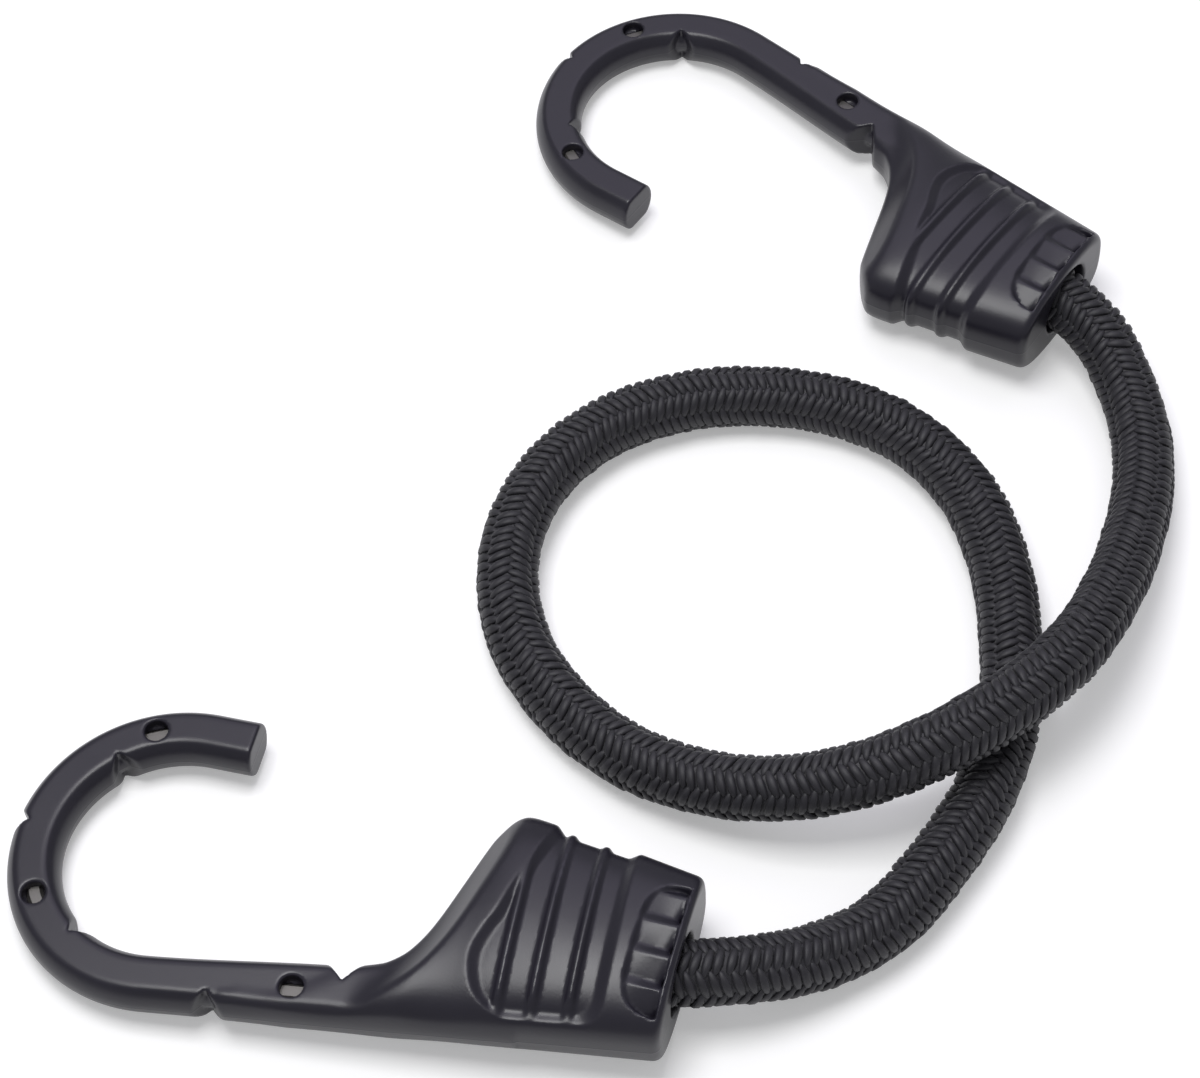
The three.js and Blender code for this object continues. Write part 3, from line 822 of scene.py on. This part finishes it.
# %% [markdown]
# ## Finish of the hooks
# The nylon is black with a satin face: the mould's fine grain breaks up the reflections, handling
# has polished the edges a little, and a faint seam runs round where the two halves of the mould
# met. Each point of the mesh knows how sharply it is bent and how far it lies from the seam.

# %% Edge and seam values on the points
def bend_of(points, quads):
    """How far each point stands out from the middle of its neighbours, as a share of a cell."""
    total, hits = np.zeros_like(points), np.zeros((len(points), 1))
    for a, b in ((0, 1), (1, 2), (2, 3), (3, 0)):
        np.add.at(total, quads[:, a], points[quads[:, b]])
        np.add.at(hits, quads[:, a], 1)
    slope = slope_of(hook_field, points)
    normal = slope / np.linalg.norm(slope, axis=1, keepdims=True)
    return ((points - total / hits) * normal).sum(1) / CELL


edge_value = bend_of(hook_points, hook_quads)
print("edges stand out by", round(float(np.percentile(edge_value, 99)), 2), "of a cell")

# %% Nylon finish
NYLON_DARK = (0.0116, 0.0105, 0.0168)
NYLON_LIGHT = (0.0216, 0.0197, 0.03)
nylon_finish, net, shader = finish_net("hook_nylon")
place = net.node("ShaderNodeTexCoord", out="Object")
edge = net.node("ShaderNodeAttribute", {"attribute_name": "edge"}, out="Fac")
seam = net.node("ShaderNodeAttribute", {"attribute_name": "seam"}, out="Fac")
cloud = net.node("ShaderNodeTexNoise", None, {"Vector": place, "Scale": 95.0, "Detail": 4.0})
grain = net.node("ShaderNodeTexNoise", None, {"Vector": place, "Scale": 2600.0, "Detail": 2.0})
rubbed = edge.rise(0.03, 0.12) * cloud.rise(0.35, 0.75)
light = 0.55 * cloud + 0.5 * rubbed + 0.25 * (grain - 0.5)
nylon_colour = net.node("ShaderNodeMix", {"data_type": "RGBA"},
                        {"Factor": light, "A": (*NYLON_DARK, 1), "B": (*NYLON_LIGHT, 1)}, out="Result")
line = 1 - abs(seam).rise(0.05, 0.22)
relief = 0.35 * grain + 0.8 * line
nylon_bump = net.node("ShaderNodeBump", None, {"Strength": 0.35, "Distance": 0.00006, "Height": relief})
feed(net, shader, Base_Color=nylon_colour, Roughness=0.28 + 0.12 * cloud - 0.05 * rubbed, Normal=nylon_bump)
shader.inputs["Specular IOR Level"].default_value = 0.42
print("nylon finish:", len(net.tree.nodes), "nodes")

# %% Hooks in place
def hook_piece(name, place):
    mesh = bpy.data.meshes.new(name)
    points = place.put(hook_points * MM)
    mesh.vertices.add(len(points))
    mesh.vertices.foreach_set("co", points.ravel())
    mesh.loops.add(hook_quads.size)
    mesh.loops.foreach_set("vertex_index", hook_quads.ravel().astype(np.int32))
    mesh.polygons.add(len(hook_quads))
    mesh.polygons.foreach_set("loop_start", np.arange(0, hook_quads.size, 4, dtype=np.int32))
    mesh.update(calc_edges=True)
    mesh.polygons.foreach_set("use_smooth", np.ones(len(hook_quads), bool))
    for label, values in (("edge", edge_value), ("seam", hook_points[:, 2])):
        mesh.attributes.new(label, "FLOAT", "POINT").data.foreach_set("value", values.astype(np.float32))
    mesh.validate()
    mesh.materials.append(nylon_finish)
    piece = bpy.data.objects.new(name, mesh)
    bpy.context.scene.collection.objects.link(piece)
    return piece


moulded_a = hook_piece("moulded_hook_a", hook_a)
moulded_b = hook_piece("moulded_hook_b", hook_b)
print("hooks:", moulded_a.name, moulded_b.name)

# %% [markdown]
# ## Steel
# The wire inside each hook shows only at the bottom of the pin marks, and the crimp rings sit deep
# in the sockets. Both stay as CAD made them and get a steel with fine drawing lines.

# %% Steel finishes
def steel_finish(name, dark, light, rough):
    finish, net, shader = finish_net(name)
    place = net.node("ShaderNodeTexCoord", out="Object")
    patch = net.node("ShaderNodeTexNoise", None, {"Vector": place, "Scale": 300.0, "Detail": 5.0})
    scratch = net.node("ShaderNodeTexNoise", None, {"Vector": place, "Scale": 1900.0, "Detail": 2.0})
    colour = net.node("ShaderNodeMix", {"data_type": "RGBA"},
                      {"Factor": patch, "A": (*dark, 1), "B": (*light, 1)}, out="Result")
    bump = net.node("ShaderNodeBump", None, {"Strength": 0.2, "Distance": 0.00003, "Height": scratch})
    feed(net, shader, Base_Color=colour, Roughness=rough + 0.2 * patch, Normal=bump)
    shader.inputs["Metallic"].default_value = 1.0
    return finish


wire_steel = steel_finish("drawn_wire", (0.13, 0.125, 0.12), (0.22, 0.212, 0.204), 0.5)
ring_steel = steel_finish("crimped_ring", (0.36, 0.36, 0.36), (0.58, 0.58, 0.57), 0.3)
for letter in "ab":
    for node, finish in (("hook_%s_steel_core", wire_steel), ("crimp_ring_%s", ring_steel)):
        data = frame["nodes"][node % letter].data
        data.materials.clear()
        data.materials.append(finish)
print("steel on the wires and the rings")

# %% [markdown]
# ## What moves with what
# Each hook turns on the end of the cord, so it rides on its own body, and its CAD moulding is hidden.
# The braid and the rubber stay in place as plain meshes, and the CAD sheath and strands
# that they stand in for are hidden.

# %% Bodies of the hooks, and hidden CAD parts
ACROSS = np.array([0.65, 0.76, 0.0])
ACROSS /= np.linalg.norm(ACROSS)
strands = ["rubber_strand_%d" % number for number in range(1, 8)]
for piece, nodes, slot in ((braid, ["cord_sheath"], "braid"), (rubber, strands, "latex")):
    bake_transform(piece)
    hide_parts(*nodes)
for piece, letter in ((moulded_a, "a"), (moulded_b, "b")):
    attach(piece, "hook_" + letter)
    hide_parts("hook_%s_moulding" % letter)

# %% [markdown]
# ## Floor and light
# The object lies on a white sheet under one soft lamp, with a wide dim panel behind it and pale
# light all round. The panel gives the flat faces their dull, slightly violet sheen. The floor is
# plain and pale, so it keeps the soft shadow. To the camera it is brightened a little, so that it
# comes out white, and no extra light falls on the object for that.

# %% Floor
def seen(net):
    """1 for what the camera sees, straight or in a gloss or through glass."""
    rays = net.node("ShaderNodeLightPath", out=("Is Camera Ray", "Is Glossy Ray", "Is Transmission Ray"))
    return rays[0].most(rays[1]).most(rays[2])


REACH = 3.0
PAPER_DARK, PAPER_LIGHT, GLOW = (0.80, 0.80, 0.80), (0.82, 0.82, 0.82), (0.3, 0.3, 0.3)
floor_finish, net, shader = finish_net("studio_floor")
place = net.node("ShaderNodeTexCoord", out="Object")
paper = net.node("ShaderNodeTexNoise", None, {"Vector": place, "Scale": 40.0, "Detail": 2.0})
colour = net.node("ShaderNodeValToRGB", {"stops": [(0.0, PAPER_DARK), (1.0, PAPER_LIGHT)]}, {0: paper})
glow = net.node("ShaderNodeMix", {"data_type": "RGBA"},
                {"Factor": seen(net), "A": (0, 0, 0, 1), "B": (*GLOW, 1)}, out="Result")
feed(net, shader, Base_Color=colour, Roughness=0.9, Emission_Color=glow)
shader.inputs["Specular IOR Level"].default_value = 0.0
shader.inputs["Emission Strength"].default_value = 1.0
floor_mesh = bpy.data.meshes.new("floor")
corners = [(-REACH, -REACH, 0), (REACH, -REACH, 0), (REACH, REACH, 0), (-REACH, REACH, 0)]
floor_mesh.from_pydata(corners, [], [(0, 1, 2, 3)])
floor_mesh.materials.append(floor_finish)
floor = bpy.data.objects.new("floor", floor_mesh)
bpy.context.scene.collection.objects.link(floor)
print("floor laid")

# %% Lamps and sky
def soft_lamp(name, watts, side, place, colour=(1.0, 1.0, 1.0)):
    """A square lamp of that side, turned towards the middle of the floor."""
    data = bpy.data.lights.new(name, "AREA")
    data.shape = "RECTANGLE"
    data.size, data.size_y, data.energy, data.color = side, side, watts, colour
    lamp = bpy.data.objects.new(name, data)
    lamp.location = place
    x, y, z = place
    lamp.rotation_euler = (math.atan2(math.hypot(x, y), z), 0, math.atan2(-y, -x) - math.pi / 2)
    bpy.context.scene.collection.objects.link(lamp)


soft_lamp("main_lamp", 2.3, 0.28, (-0.11, 0.0, 0.6))
soft_lamp("back_panel", 4.8, 1.2, (0.05, 0.75, 1.2), (0.86, 0.8, 1.0))
world = bpy.data.worlds.new("studio")
bpy.context.scene.world = world
world.use_nodes = True
sky = world.node_tree.nodes["Background"]
sky.inputs["Color"].default_value = (0.96, 0.97, 1.0, 1)
sky.inputs["Strength"].default_value = 0.36
print("two soft lamps over the floor")
